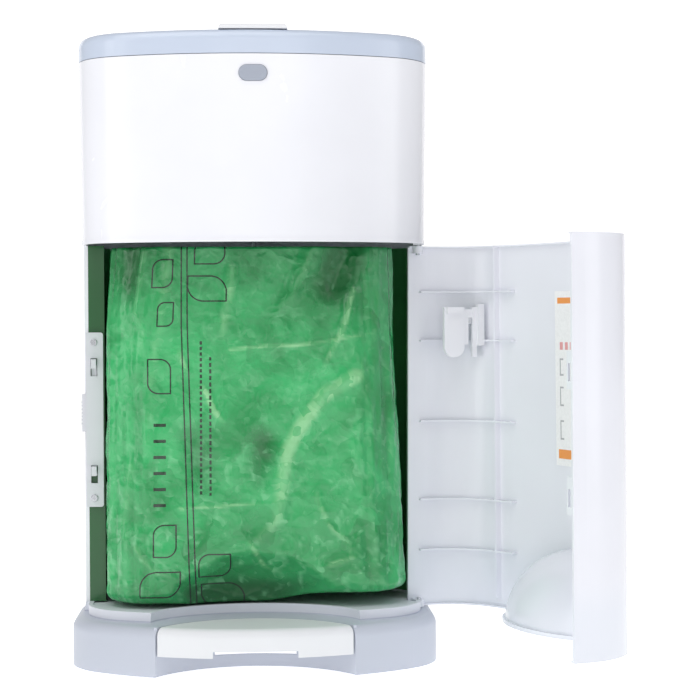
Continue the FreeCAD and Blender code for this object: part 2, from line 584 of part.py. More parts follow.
# ---------------------------------------------------------------- upper housing
def upper_housing():
    outer = tapered(BODY, "housing_low", TOP, "housing_top")
    inner = tapered(BODY.inset("wall"), "housing_low - 1", TOP.inset("wall"), "housing_top + 1")
    shelf = common(oval(BODY.inset("wall - 0.5"), "shelf_low", "shelf_low + wall"), outer)
    chute = cylinder("chute_radius", WIDE, (0, "-chute_ahead", "housing_low"))
    rod_way = cylinder("rod_radius + 1.5", WIDE, (0, "rod_back", "housing_low"))
    ring = cut(cylinder("cassette_out + wall", 8, (0, "-chute_ahead", "shelf_low + wall")),
               cylinder("cassette_out + gap", 20, (0, "-chute_ahead", "shelf_low")))
    ring = common(ring, oval(BODY.inset("wall - 0.5"), "shelf_low", "shelf_low + 20"))
    flap_lugs = [box((f"{side} * (flap_side + 2) - 5", f"{side} * (flap_side + 2) + 5"),
                     (f"-chute_ahead + {end} * (flap_half + 3) - 2",
                      f"-chute_ahead + {end} * (flap_half + 3) + 2"),
                     ("flap_high - 5", "shelf_low + 1")) for side in (-1, 1) for end in (-1, 1)]
    flap_bores = [cylinder("flap_pin", "2 * flap_half + 12",
                           (f"{side} * (flap_side + 2)", "-chute_ahead - flap_half - 6", "flap_high"), "Y")
                  for side in (-1, 1)]
    cage_walls = [box((f"{side} * (button_half + 5) - 1", f"{side} * (button_half + 5) + 1"),
                      ("-body_front + 2", "-button_cage"),
                      ("button_high - button_tall / 2 - 3", "button_high + button_tall / 2 + 3"))
                 for side in (-1, 1)]
    cage_back = box(("-button_half - 6", "button_half + 6"), ("-button_cage", "-button_cage + 2"),
                    ("button_high - button_tall / 2 - 3", "button_high + button_tall / 2 + 3"))
    button_way = obround("2 * button_half + 2 * gap", "button_tall + 2 * gap", 12,
                         (0, "-body_front - 4", "button_high"))
    lugs = [box((f"{side} * (collar_knuckle_half + 4.3) - 4", f"{side} * (collar_knuckle_half + 4.3) + 4"),
                ("body_rear - wall", "collar_axis_back"), ("collar_axis_high - 12", "housing_top - gap"))
            for side in (-1, 1)]
    rounds = [cylinder("lug", 8, (f"{side} * (collar_knuckle_half + 4.3) - 4", "collar_axis_back",
                                  "collar_axis_high"), "X") for side in (-1, 1)]
    lug_room = tapered(BODY.inset("wall"), "housing_low - 1", TOP.inset("wall"), "housing_top + 30")
    lugs = cut(fuse(*lugs, *rounds), lug_room)
    lug_bore = cylinder("collar_pin", "4 * collar_knuckle_half",
                        ("-2 * collar_knuckle_half", "collar_axis_back", "collar_axis_high"), "X")
    pin_lug = box(("hinge_side - 5", "body_half - 1"), ("-parting - 5", "-parting + 5"),
                  ("housing_low", "housing_low + 10"))
    pin_bore = cylinder("hinge_pin", 10, ("hinge_side", "-parting", "housing_low - 1"))
    lip = cut(oval(BODY.inset("-lip_proud"), "housing_low", "housing_low + lip_tall"),
              oval(BODY.inset("wall / 2"), "housing_low - 1", "housing_low + lip_tall + 1"))
    shell = fuse(cut(outer, inner), shelf, ring, *flap_lugs, *cage_walls, cage_back, lugs, lip, pin_lug)
    return cut(shell, chute, rod_way, *flap_bores, button_way, lug_bore, pin_bore)


node("upper_housing", upper_housing())


# ---------------------------------------------------------------- button and spring
def front_button():
    face = obround("2 * button_half", "button_tall", "button_deep",
                   (0, "-body_front - button_proud", "button_high"))
    face = rounded(face, "button_round",
                   lambda edge: edge.BoundBox.YMax < value("-body_front - button_proud") + 0.01)
    flange = obround("2 * button_half + 5", "button_tall + 4", 2, (0, "-body_front + wall + 1", "button_high"))
    pocket = cylinder("spring_radius + 1", WIDE, (0, "-body_front + wall + 2", "button_high"), "Y")
    return cut(fuse(face, flange), pocket)


def coil(radius, wire, turns, start, end):
    """A coil spring along Y with flat-lying turns."""
    length = end - start - wire
    helix = Part.makeHelix(length / turns, length, radius)
    tangent = helix.Edges[0].tangentAt(helix.Edges[0].FirstParameter)
    section = Part.Wire(Part.makeCircle(wire / 2, helix.Vertexes[0].Point, tangent))
    solid = Part.Wire(helix.Edges).makePipeShell([section], True, True)
    solid.rotate(V(), V(1, 0, 0), -90)
    solid.translate(V(0, start + wire / 2, value("button_high")))
    spring = doc.addObject("Part::Feature", "Coil")
    spring.Shape = solid
    return spring


node("front_button", front_button())
node("button_spring", coil(value("spring_radius"), value("spring_wire"), value("spring_coils"),
                           value("-body_front + wall + 2.2"), value("-button_cage - 0.2")))


# ---------------------------------------------------------------- collar and lid
def top_collar():
    outer = rounded(oval(TOP, "collar_low", "collar_top"), "collar_round",
                    lambda edge: edge.BoundBox.ZMin > value("collar_top") - 0.01)
    under = oval(TOP.inset("wall"), "collar_low - 1", "funnel_top")
    mouth = oval(TOP.inset("band_wide"), "collar_low", "collar_top + 1")
    barrel_way = box(("-lid_barrel_half - 8", "lid_barrel_half + 8"),
                     ("lid_axis_back - 8", "lid_axis_back + 5"),
                     ("collar_low", "collar_top + 1"))
    shell = cut(outer, under, mouth, barrel_way)
    cheeks = [box((f"{side} * (lid_barrel_half + 5.5) - 3", f"{side} * (lid_barrel_half + 5.5) + 3"),
                  ("lid_axis_back - lid_barrel + 0.5", "lid_axis_back + 6"), ("funnel_top", "collar_top - 1"))
              for side in (-1, 1)]
    knuckle = [cylinder("lug", "2 * collar_knuckle_half", ("-collar_knuckle_half", "collar_axis_back",
                                                          "collar_axis_high"), "X"),
               box(("-collar_knuckle_half", "collar_knuckle_half"), ("body_rear - 1.5", "collar_axis_back"),
                   ("collar_axis_high", "collar_axis_high + lug"))]
    way = oval(TOP.inset("wall"), "collar_low - 1", "funnel_top")
    knuckle = cut(fuse(*knuckle), way)
    bores = [cylinder("collar_pin + pin_gap", WIDE, ("-collar_knuckle_half - 1", "collar_axis_back",
                                                     "collar_axis_high"), "X"),
             cylinder("lid_pin", "4 * lid_barrel_half",
                      ("-2 * lid_barrel_half", "lid_axis_back", "lid_axis_high"),
                      "X")]
    return cut(fuse(shell, knuckle, *cheeks), *bores)


def cone(grow, low, high):
    """The funnel's round cone, which widens upwards from its throat."""
    solid = doc.addObject("Part::Cone", "Cone")
    bind(solid, Radius1=f"funnel_radius + ({grow})", Radius2=f"funnel_mouth + ({grow})",
         Height=f"({high}) - ({low})")
    return place(solid, 0, "-chute_ahead", low)


def funnel():
    """The chute's mouth: a flange under the collar's band and a cone to a round throat."""
    flange = cut(oval(TOP.inset("wall + gap"), "funnel_top - 2.5", "funnel_top"),
                 cylinder("funnel_mouth", 10, (0, "-chute_ahead", "funnel_top - 5")))
    skin = cut(cone(2, "funnel_low", "funnel_top"), cone(0, "funnel_low", "funnel_top"))
    foot_way = box(("-foot_wide / 2 - 4", "foot_wide / 2 + 4"),
                   ("lid_axis_back - foot_ahead - 7", "lid_axis_back + 5"),
                   ("funnel_top - 5", "funnel_top + 5"))
    return cut(fuse(flange, skin), foot_way)


def lid_flap():
    plate = common(oval(TOP.inset("band_wide + lid_gap"), "collar_top - 1 - lid_wall", "collar_top - 1"),
                   box((-WIDE, WIDE), (-WIDE, "lid_axis_back - lid_rear_cut"), (0, WIDE * 2)))
    bridge = box(("-lid_barrel_half", "lid_barrel_half"),
                 ("lid_axis_back - lid_rear_cut - 1", "lid_axis_back"),
                 ("lid_axis_high - 2", "lid_axis_high + 2"))
    barrel = cylinder("lid_barrel", "2 * lid_barrel_half",
                      ("-lid_barrel_half", "lid_axis_back", "lid_axis_high"), "X")
    foot = box(("-foot_wide / 2", "foot_wide / 2"),
               ("lid_axis_back - foot_ahead - foot_nose", "lid_axis_back - foot_ahead + foot_nose"),
               ("lid_axis_high - foot_drop", "lid_axis_high - 1"))
    nose = cylinder("foot_nose", "foot_wide", ("-foot_wide / 2", "lid_axis_back - foot_ahead",
                                               "lid_axis_high - foot_drop"), "X")
    bore = cylinder("lid_pin + pin_gap", WIDE, ("-2 * lid_barrel_half", "lid_axis_back", "lid_axis_high"), "X")
    return cut(fuse(plate, bridge, barrel, foot, nose), bore)


def lid_tab():
    """The raised grip on the lid's front edge, which overhangs the collar."""
    over = ("collar_top + tab_gap", "collar_top + tab_gap + tab_wall")
    grip = box(("-tab_half", "tab_half"), ("-body_front + 5", "-body_front + 36"), over)
    grip = rounded(grip, "tab_wall * 0.7",
                   lambda edge: edge.BoundBox.ZMin > value("collar_top + tab_gap + tab_wall") - 0.01)
    stem = box(("-tab_half + 4", "tab_half - 4"), ("-body_front + 20", "-body_front + 34"),
               ("collar_top - 1", "collar_top + tab_gap"))
    return fuse(grip, stem)


node("top_collar", top_collar())
node("chute_funnel", funnel())
node("lid_flap", lid_flap())
node("lid_tab", lid_tab())
for side, name in ((-1, "left"), (1, "right")):
    start = "-lid_barrel_half - 8.5" if side < 0 else "lid_barrel_half - 10"
    node(f"lid_pin_{name}", cylinder("lid_pin", "18.5", (start, "lid_axis_back", "lid_axis_high"), "X"))
node("collar_hinge_pin", cylinder("collar_pin", "2 * collar_knuckle_half + 16.6",
                                  ("-collar_knuckle_half - 8.3", "collar_axis_back", "collar_axis_high"), "X"))


# ---------------------------------------------------------------- cassette and trap flaps
def trap_flap(side):
    """One half of the closing trap under the cassette, on its own pin."""
    axis = f"{side} * (flap_side + 2)"
    inner, outer = f"{side} * 0.6", f"{side} * (flap_side + 2)"
    across = (inner, outer) if side > 0 else (outer, inner)
    plate = box(across, ("-chute_ahead - flap_half", "-chute_ahead + flap_half"),
                ("flap_high - 1", "flap_high + 1.5"))
    barrel = cylinder("flap_barrel", "2 * flap_half", (axis, "-chute_ahead - flap_half", "flap_high"), "Y")
    bore = cylinder("flap_pin + pin_gap", WIDE, (axis, "-chute_ahead - flap_half - 60", "flap_high"), "Y")
    return cut(fuse(plate, barrel), bore)


node("film_cassette", cut(cylinder("cassette_out", "cassette_tall", (0, "-chute_ahead", "shelf_low + wall")),
                          cylinder("cassette_in", WIDE, (0, "-chute_ahead", "shelf_low"))))
for side, name in ((-1, "left"), (1, "right")):
    node(f"trap_flap_{name}", trap_flap(side))
    node(f"trap_pin_{name}", cylinder("flap_pin", "2 * flap_half + 10",
                                      (f"{side} * (flap_side + 2)", "-chute_ahead - flap_half - 5", "flap_high"), "Y"))


# ---------------------------------------------------------------- pedal and lift rod
def pedal():
    plan = FOOT.inset("0.5")
    pad = common(oval(plan, "pedal_low", "pedal_top"), scoop("-pedal_gap", "pedal_low", "pedal_top"))
    pad = rounded(pad, "pedal_round",
                  lambda edge: edge.BoundBox.ZMin > value("pedal_top") - 0.01
                  and edge.BoundBox.YMin < value("-foot_front + 1"))
    hollow = common(oval(plan.inset("pedal_shell"), 0, "pedal_top - pedal_shell"),
                    scoop("-pedal_gap - pedal_shell", 0, "pedal_top - pedal_shell"))
    notch = box(("-lever_way - 0.5", "lever_way + 0.5"), (-WIDE, "-foot_front + 12"),
                (0, "pedal_low + notch_tall"))
    lever_top = "pedal_pivot_high + lever_wall / 2"
    lever = box(("-lever_half", "lever_half"), ("-scoop_centre + scoop_radius - 12", "rod_back + 5"),
                (f"{lever_top} - lever_wall", lever_top))
    neck = box(("-lever_half", "lever_half"),
               ("-scoop_centre + scoop_radius - 12", "-scoop_centre + scoop_radius - 8.5"),
               (f"{lever_top} - lever_wall", "pedal_top - 2"))
    barrel = cylinder("lever_wall / 2 + 2", "2 * lever_half",
                      ("-lever_half", "-pedal_pivot", "pedal_pivot_high"), "X")
    bore = cylinder("pedal_pin + pin_gap", WIDE,
                    ("-lever_half - 10", "-pedal_pivot", "pedal_pivot_high"), "X")
    return cut(fuse(cut(pad, hollow, notch), lever, neck, barrel), bore)


node("pedal", pedal())
node("pedal_pin", cylinder("pedal_pin", "2 * pivot_lug + 2 * wall", ("-pivot_lug - wall", "-pedal_pivot",
                                                                   "pedal_pivot_high"), "X"))
rod_foot = "pedal_pivot_high + lever_wall / 2 + rod_lift_gap"
rod_head = "lid_axis_high - foot_drop - foot_nose - gap"
node("lift_rod", cylinder("rod_radius", f"({rod_head}) - ({rod_foot})", (0, "rod_back", rod_foot)))


# ---------------------------------------------------------------- liner
def liner_bag():
    """The hanging liner, as one plain closed solid that clears the foot recess."""
    top = Plan("bag_half_top", "bag_front", "bag_rear", "bag_corner", "bag_flat")
    low = Plan("bag_half_low", "bag_front", "bag_rear", "bag_corner", "bag_flat")
    hang = tapered(low, "floor_top + gap", top, "bag_top")
    return cut(hang, ellipsoid("dome_half + dome_wall + bag_clear", "dome_depth + dome_wall + bag_clear",
                               "dome_rise + dome_wall + bag_clear"))


node("liner_bag", liner_bag())

# ---------------------------------------------------------------- check and write
doc.recompute()
for thing in doc.Objects:
    if "Invalid" in thing.State or "Error" in thing.State:
        raise RuntimeError(f"{thing.Name} ({thing.Label}) failed: {thing.State}")
os.makedirs("parts", exist_ok=True)
for piece in NODES:
    shape = piece.Shape
    if shape.isNull() or not shape.isValid() or shape.Volume <= 0:
        raise RuntimeError(f"{piece.Label} has no valid solid")
    shape.exportStep(f"parts/{piece.Label}.step")
    print(f"{piece.Label:22s} solids {len(shape.Solids)}  volume {shape.Volume / 1000:9.2f} cm3")
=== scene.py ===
# %% [markdown]
# # A pedal nappy bin with its front door open
#
# The bin is a tall oval shell of white plastic on a grey foot. Its moulded parts
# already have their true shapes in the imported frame, so this lesson gives them
# finishes, and it models what a rigid drawing can't hold: the thin green film bag
# that hangs inside, and the print on the card in the door.

# %% Load the frame
import bpy
import math
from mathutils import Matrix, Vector, noise


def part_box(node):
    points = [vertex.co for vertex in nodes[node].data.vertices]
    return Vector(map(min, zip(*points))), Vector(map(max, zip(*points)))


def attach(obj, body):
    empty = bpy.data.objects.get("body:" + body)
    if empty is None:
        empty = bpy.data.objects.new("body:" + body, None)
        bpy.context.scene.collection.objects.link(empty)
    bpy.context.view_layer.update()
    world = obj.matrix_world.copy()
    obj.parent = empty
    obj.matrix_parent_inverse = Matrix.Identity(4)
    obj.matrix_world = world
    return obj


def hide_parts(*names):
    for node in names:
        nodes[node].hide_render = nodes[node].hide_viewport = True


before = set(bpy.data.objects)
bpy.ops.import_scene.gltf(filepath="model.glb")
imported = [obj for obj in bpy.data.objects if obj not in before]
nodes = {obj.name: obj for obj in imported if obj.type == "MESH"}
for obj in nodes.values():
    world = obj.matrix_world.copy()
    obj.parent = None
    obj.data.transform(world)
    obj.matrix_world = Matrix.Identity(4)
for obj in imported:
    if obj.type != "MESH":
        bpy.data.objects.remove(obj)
scene = bpy.context.scene
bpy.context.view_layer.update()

# %% [markdown]
# ## The viewpoint
#
# The bin is seen from straight in front, at about the middle of its height, from
# nearly two metres away, which keeps its sides close to parallel. The camera stands
# on the bin's own centre plane and turns a little to the right to take in the door.

# %% Camera
CAMERA_BACK = 1.810
CAMERA_HIGH = 0.326
VIEW_RIGHT, VIEW_DOWN, VIEW_ROLL = 2.93, 0.98, 0.22
LENS = 96.3

camera_data = bpy.data.cameras.new("camera")
camera_data.lens = LENS
camera_data.sensor_width = 36
camera = bpy.data.objects.new("camera", camera_data)
scene.collection.objects.link(camera)
camera.location = (0, -CAMERA_BACK, CAMERA_HIGH)
camera.rotation_euler = (math.radians(90 - VIEW_DOWN), math.radians(VIEW_ROLL), math.radians(-VIEW_RIGHT))
scene.camera = camera
scene.view_settings.view_transform = "Standard"

# %% [markdown]
# ## Soft studio light
#
# White plastic shows its form only through slow changes of brightness, so the light
# comes from large panels: a broad one above and in front, a strip at each side that
# draws the bright lines down the flanks, and a pale surround that fills the rest.

# %% Lights
def softbox(name, place, target, size, power):
    """A rectangular lamp at a place, facing a target."""
    lamp = bpy.data.lights.new(name, "AREA")
    lamp.shape = "RECTANGLE"
    lamp.size, lamp.size_y = size
    lamp.energy = power
    holder = bpy.data.objects.new(name, lamp)
    scene.collection.objects.link(holder)
    holder.location = place
    holder.rotation_euler = (Vector(target) - Vector(place)).to_track_quat("-Z", "Y").to_euler()
    return holder


MIDDLE = (0.03, 0, 0.30)
softbox("top_panel", (-0.3, -0.7, 2.0), MIDDLE, (1.8, 1.4), 15)
softbox("left_panel", (-1.9, -1.2, 0.9), MIDDLE, (0.9, 1.8), 8)
softbox("right_panel", (2.0, -1.3, 0.9), MIDDLE, (0.9, 1.8), 7)
softbox("front_panel", (0.1, -2.6, 1.0), MIDDLE, (1.6, 1.2), 5)

world = bpy.data.worlds.new("surround")
scene.world = world
world.use_nodes = True
world.node_tree.nodes["Background"].inputs["Color"].default_value = (1.0, 1.0, 1.0, 1)
world.node_tree.nodes["Background"].inputs["Strength"].default_value = 0.36

# %% [markdown]
# ## The floor
#
# The bin stands on a seamless pale floor that curves up far behind it, as studio
# paper does, so no horizon line crosses the picture.

# %% Floor
def deselect():
    """Leaves nothing selected, so that the next operator acts on new work only."""
    if bpy.context.object and bpy.context.object.mode != "OBJECT":
        bpy.ops.object.mode_set(mode="OBJECT")
    bpy.ops.object.select_all(action="DESELECT")


deselect()
bpy.ops.mesh.primitive_plane_add(size=16, location=(0, 0, 0))
floor = bpy.context.object
floor.name = "studio_floor"
bpy.ops.object.mode_set(mode="EDIT")
bpy.ops.mesh.select_all(action="DESELECT")
bpy.ops.mesh.select_mode(type="EDGE")
bpy.ops.object.mode_set(mode="OBJECT")
for edge in floor.data.edges:
    edge.select = all(floor.data.vertices[v].co.y > 7.9 for v in edge.vertices)
bpy.ops.object.mode_set(mode="EDIT")
for step in range(6):
    angle = math.radians(15 * (step + 1))
    bpy.ops.mesh.extrude_region_move(
        TRANSFORM_OT_translate={"value": (0, 0.5 * math.cos(angle), 0.5 * math.sin(angle))})
bpy.ops.mesh.extrude_region_move(TRANSFORM_OT_translate={"value": (0, 0, 3)})
bpy.ops.object.mode_set(mode="OBJECT")
bpy.ops.object.shade_smooth()
print("floor", len(floor.data.polygons), "faces")

# %% [markdown]
# ## Writing a finish as arithmetic
#
# A finish here is a formula over the surface: a colour that drifts a little, a
# roughness that varies, and a relief too small to model. One small class wraps a
# socket, so that these formulas can be written with ordinary signs.

# %% Shader words
class Wire:
    """One output socket of a material, which ordinary signs can work with."""

    def __init__(self, tree, socket):
        self.tree = tree
        self.socket = socket

    def node(self, kind, settings, inputs, output=0):
        """Adds any node: its settings first, then a value or a link for each input."""
        made = self.tree.nodes.new(kind)
        for name, setting in settings.items():
            setattr(made, name, setting)
        for name, given in inputs.items():
            if isinstance(given, Wire):
                self.tree.links.new(given.socket, made.inputs[name])
            else:
                made.inputs[name].default_value = given
        return Wire(self.tree, made.outputs[output])

    def sum(self, operation, *values):
        return self.node("ShaderNodeMath", {"operation": operation}, dict(enumerate(values)))

    def __add__(self, other):
        return self.sum("ADD", self, other)

    def __radd__(self, other):
        return self.sum("ADD", other, self)

    def __sub__(self, other):
        return self.sum("SUBTRACT", self, other)

    def __rsub__(self, other):
        return self.sum("SUBTRACT", other, self)

    def __mul__(self, other):
        return self.sum("MULTIPLY", self, other)

    def __rmul__(self, other):
        return self.sum("MULTIPLY", other, self)

    def __gt__(self, other):
        return self.sum("GREATER_THAN", self, other)

    def __lt__(self, other):
        return self.sum("LESS_THAN", self, other)

    def ramp(self, low, high):
        """0 below low, 1 above high, and smooth in between."""
        return self.node("ShaderNodeMapRange", {"interpolation_type": "SMOOTHSTEP"},
                         {"Value": self, "From Min": low, "From Max": high})

    def tint(self, first, second):
        """The first colour where this is 0, the second where it is 1."""
        return self.node("ShaderNodeMix", {"data_type": "RGBA"}, {0: self, 6: first, 7: second}, 2)


def colour(red, green, blue):
    """A surface colour from three shares of full brightness on a screen."""
    return tuple(((share + 0.055) / 1.055) ** 2.4 for share in (red, green, blue)) + (1.0,)


def new_finish(name):
    """An empty material: its shader, and a wire that carries the object's own coordinates."""
    made = bpy.data.materials.new(name)
    made.use_nodes = True
    shader = made.node_tree.nodes["Principled BSDF"]
    place = made.node_tree.nodes.new("ShaderNodeTexCoord")
    return made, shader, Wire(made.node_tree, place.outputs["Object"])


def plug(wire, shader, name):
    wire.tree.links.new(wire.socket, shader.inputs[name])


def cloud(place, scale, detail=2.0, distortion=0.0):
    """Soft random patches from 0 to 1; the scale is in patches per metre."""
    return place.node("ShaderNodeTexNoise", {}, {"Vector": place, "Scale": scale, "Detail": detail,
                                                 "Distortion": distortion}, "Fac")


def relief(height, depth):
    """A small relief, depth metres deep where the height goes from 0 to 1."""
    return height.node("ShaderNodeBump", {}, {"Height": height, "Distance": depth, "Strength": 1.0}, "Normal")


# %% [markdown]
# ## Moulded plastic
#
# Nearly all of the bin is injection-moulded. Gloss parts have a faint orange-peel
# ripple, satin parts a fine spark-eroded grain, and both have slow patches in their
# gloss from handling. One function makes all of these, so that the parts differ
# only in colour, gloss and grain, as the real mouldings do.

# %% Plastic
def plastic(name, shade, rough, peel=0.000012, grain=0.0, drift=0.008, coat=0.0):
    """Moulded plastic of one colour, with a soft ripple of peel metres and a grain of grain metres."""
    made, shader, place = new_finish(name)
    patches = cloud(place, 9, 3)
    darker = tuple(share * (1 - 4 * drift) for share in shade[:3]) + (1.0,)
    plug(patches.ramp(0.3, 0.7).tint(darker, shade), shader, "Base Color")
    smears = cloud(place, 38, 4, 0.6)
    plug(rough + 0.015 * (smears - 0.5) + 0.015 * (patches - 0.5), shader, "Roughness")
    surface = peel * cloud(place, 260, 1)
    if grain:
        surface = surface + grain * cloud(place, 2600, 1)
    plug(relief(surface, 1.0), shader, "Normal")
    shader.inputs["IOR"].default_value = 1.49
    shader.inputs["Coat Weight"].default_value = coat
    shader.inputs["Coat Roughness"].default_value = 0.08
    return made


def wear(finish, *names):
    """Gives the named moulded parts their finish."""
    for name in names:
        slots = nodes[name].data.materials
        slots.clear()
        slots.append(finish)
    print(finish.name, "on", ", ".join(names))


shell_white = plastic("shell_white", colour(0.938, 0.941, 0.966), 0.27, coat=0.25)
collar_blue = plastic("collar_blue_grey", colour(0.775, 0.815, 0.885), 0.24, coat=0.3)
foot_grey = plastic("foot_satin_grey", colour(0.765, 0.785, 0.835), 0.44, grain=0.000010)
pedal_white = plastic("pedal_satin_white", colour(0.905, 0.910, 0.925), 0.42, grain=0.000012)
latch_grey = plastic("latch_light_grey", colour(0.845, 0.850, 0.875), 0.38, grain=0.000008)
button_grey = plastic("button_mid_grey", colour(0.640, 0.665, 0.720), 0.36, grain=0.000008)
lining_green = plastic("lining_dark_green", colour(0.235, 0.560, 0.310), 0.36, grain=0.000012, drift=0.05)
flap_grey = plastic("flap_grey", colour(0.60, 0.63, 0.68), 0.42, grain=0.00001)
cutter_white = plastic("cutter_white", colour(0.925, 0.930, 0.950), 0.33, coat=0.1)

wear(shell_white, "upper_housing", "chute_funnel")
wear(collar_blue, "top_collar", "lid_flap")
wear(pedal_white, "pedal", "lid_tab")
wear(latch_grey, "latch_plate", "latch_slider")
wear(button_grey, "front_button")
wear(lining_green, "inner_lining")
wear(flap_grey, "trap_flap_left", "trap_flap_right")
wear(cutter_white, "door_cutter", "cutter_mount")

# %% [markdown]
# ## The door, with painted light at its foot recess
#
# The door is the same white plastic. Its rounded recess over the pedal is given a
# cooler, bluer tint: painted light, standing for the cool light that a thinner wall
# lets through. It is the same plastic, with that tint wherever the point lies in the recess.

# %% Door
def retint(made, zone, shade):
    """Gives a finish another colour where a zone, made from its coordinates, is 1."""
    tree = made.node_tree
    base_colour = tree.nodes["Principled BSDF"].inputs["Base Color"]
    before = Wire(tree, base_colour.links[0].from_socket)
    place = Wire(tree, tree.nodes["Texture Coordinate"].outputs["Object"])
    across, back, high = (place.node("ShaderNodeSeparateXYZ", {}, {"Vector": place}, axis) for axis in "XYZ")
    tree.links.new(zone(across, back, high).tint(before, shade).socket, base_colour)
    return made


door_white = plastic("door_white", colour(0.925, 0.930, 0.962), 0.25, coat=0.25)
# painted light: the recess gets a cooler, bluer tint for light through its thin wall
wear(retint(door_white, lambda across, back, high: 0.55 * (1 - high.ramp(0.080, 0.118)),
            colour(0.885, 0.905, 0.945)), "door_shell")

# %% [markdown]
# ## Two edges in another colour
#
# The body's left jamb is covered by the green lining's flange, so its front face is
# green and only the outer skin is white. The foot's raised plinth is moulded in the
# same plastic as the rest of the foot; its upper edge is painted much paler, as a painted highlight.

# %% Edges
JAMB_OUT, JAMB_IN = -0.1588, -0.1400


def jamb(across, back, high):
    return (across > JAMB_OUT) * (across < JAMB_IN) * (back < 0.004)


wear(retint(plastic("body_white", colour(0.938, 0.941, 0.966), 0.27, coat=0.25), jamb,
            colour(0.150, 0.370, 0.200)), "body_shell")
# painted highlight: the plinth's upper edge, above about 46 mm, is painted paler
wear(retint(foot_grey, lambda across, back, high: 0.8 * high.ramp(0.0462, 0.0475),
            colour(0.900, 0.910, 0.940)), "base")

# %% [markdown]
# ## Metal, rubber and the cassette
#
# Pins, screws and springs are drawn steel with fine scratches; the blade is brushed
# along its edge. The feet are matt rubber. The film cassette is a ring of green film
# packed so tightly that it shows as level pleats, whose crests are painted lighter and
# whose hollows darker, as painted light and shade.

# %% Steel
def steel(name, shade, rough, along):
    """Bright metal, scratched in lines; along stretches the scratches on each axis."""
    made, shader, place = new_finish(name)
    stretched = place.node("ShaderNodeVectorMath", {"operation": "MULTIPLY"}, {0: place, 1: along}, "Vector")
    lines = cloud(stretched, 900, 3)
    plug(lines.tint(tuple(share * 0.82 for share in shade[:3]) + (1.0,), shade), shader, "Base Color")
    plug(rough + 0.18 * (lines - 0.5), shader, "Roughness")
    plug(relief(lines, 0.00001), shader, "Normal")
    shader.inputs["Metallic"].default_value = 1.0
    return made


wear(steel("drawn_steel", colour(0.80, 0.81, 0.83), 0.26, (1, 1, 0.15)), "door_pin_lower", "door_pin_upper",
     "latch_screw_upper", "latch_screw_lower", "button_spring", "lid_pin_left", "lid_pin_right",
     "trap_pin_left", "trap_pin_right", "pedal_pin", "collar_hinge_pin", "lift_rod")
wear(steel("blade_steel", colour(0.84, 0.85, 0.87), 0.20, (1, 0.1, 1)), "cutter_blade")


# %% Rubber and film
def rubber():
    made, shader, place = new_finish("foot_rubber")
    dust = cloud(place, 120, 4)
    plug(dust.ramp(0.35, 0.8).tint(colour(0.12, 0.12, 0.13), colour(0.22, 0.22, 0.23)), shader, "Base Color")
    plug(0.68 + 0.2 * (dust - 0.5), shader, "Roughness")
    plug(relief(cloud(place, 1500, 2), 0.00006), shader, "Normal")
    return made


def packed_film():
    made, shader, place = new_finish("packed_film")
    high = place.node("ShaderNodeSeparateXYZ", {}, {"Vector": place}, "Z")
    wander = 0.0015 * cloud(place, 45, 3)
    turns = 4200 * (high + wander)
    pleats = turns.sum("SINE", turns)
    # painted light and shade: each pleat's crest is painted lighter green, its hollow darker
    shade = (0.5 * pleats + 0.5).tint(colour(0.10, 0.42, 0.22), colour(0.24, 0.66, 0.40))
    plug(shade, shader, "Base Color")
    plug(0.34 + 0.15 * cloud(place, 200, 2), shader, "Roughness")
    plug(relief(0.5 * pleats + 0.5, 0.0004), shader, "Normal")
    return made


wear(rubber(), *("foot_pad_" + corner for corner in ("front_left", "front_right", "rear_left", "rear_right")))
wear(packed_film(), "film_cassette")

# %% [markdown]
# ## The film bag: its plan
#
# The bag is one tube of thin film, welded across its lower end, that hangs from the
# chute down to the floor of the bin. Its plan is a long oval that fills the lining
# loosely. A loft suits it: one outline after another from the rim down, each a little
# wider, then rings that close the bottom. Columns of points run the whole way, so
# every fold can cross the wall as it does on real film.

# %% Bag plan
BAG_COLUMNS, BAG_ROWS, BAG_RINGS = 236, 132, 12
BAG_CORNER = 0.044
BAG_CURL = 0.012
FILM = 0.0003
bag_low, bag_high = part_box("liner_bag")
BAG_TOP = bag_high.z - 0.001
BAG_FLOOR = bag_low.z + 0.002
BAG_HALF = 0.135
# how far down the bag, then how far out its side stands there
LEFT_SIDE = [(0, 0.135), (0.22, 0.1405), (1, 0.1430)]
RIGHT_SIDE = [(0, 0.131), (0.25, 0.132), (0.55, 0.137), (0.82, 0.141), (1, 0.146)]
BAG_DEEP = (bag_high.y - bag_low.y) / 2 - 0.005
bag_centre = (bag_high + bag_low) / 2


def outline(share, half, deep, corner):
    """A point on a rounded oblong and the way that it faces; share goes once round from the left."""
    long_side, short_side, arc = 2 * (half - corner), 2 * (deep - corner), math.pi * corner / 2
    at = share * 2 * (long_side + short_side + 2 * arc)
    for quarter in range(4):
        side = long_side if quarter % 2 else short_side
        facing = (-math.cos(quarter * math.pi / 2), -math.sin(quarter * math.pi / 2))
        reach = half if quarter % 2 == 0 else deep
        other = deep if quarter % 2 == 0 else half
        along = (-facing[1], facing[0])
        if at <= side:
            slide = at - side / 2
            return (facing[0] * reach + along[0] * slide, facing[1] * reach + along[1] * slide), facing
        at -= side
        if at <= arc:
            turn = at / corner
            centre = (facing[0] * (reach - corner) + along[0] * (other - corner),
                      facing[1] * (reach - corner) + along[1] * (other - corner))
            out = (facing[0] * math.cos(turn) + along[0] * math.sin(turn),
                   facing[1] * math.cos(turn) + along[1] * math.sin(turn))
            return (centre[0] + out[0] * corner, centre[1] + out[1] * corner), out
        at -= arc
    return outline(0, half, deep, corner)
